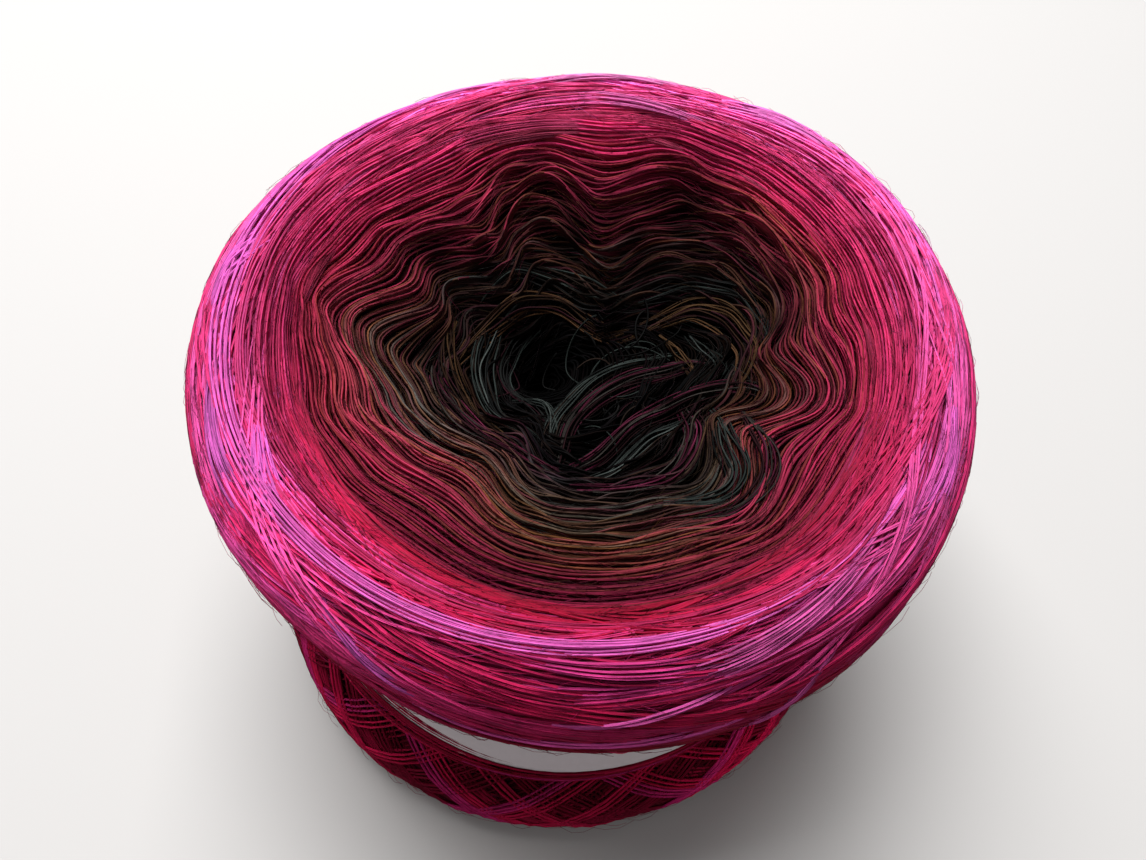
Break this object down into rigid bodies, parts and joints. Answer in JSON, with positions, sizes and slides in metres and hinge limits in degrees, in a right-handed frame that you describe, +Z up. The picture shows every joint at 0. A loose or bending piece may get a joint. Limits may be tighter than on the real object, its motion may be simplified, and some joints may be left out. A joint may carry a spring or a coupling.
{
  "type": "wound yarn cake",
  "caption": "Wound cake of fine wool yarn with a wide rounded rim, a sunken folded top, a flat base and a plain paper band round its waist.",
  "frame": {"origin": "middle of the flat base on which the cake stands", "axes": "+Z up from the base to the sunken top, -Y towards the viewer, +X to the viewer's right"},
  "size_m": [0.1198, 0.1199, 0.0786],
  "materials": {
    "wool": "fine fuzzy wool in a gradient of pink, crimson, burgundy and near black",
    "paper": "plain uncoated paper"
  },
  "bodies": {
    "root": {"wound_cake": "wool", "paper_band": "paper"}
  },
  "joints": []
}
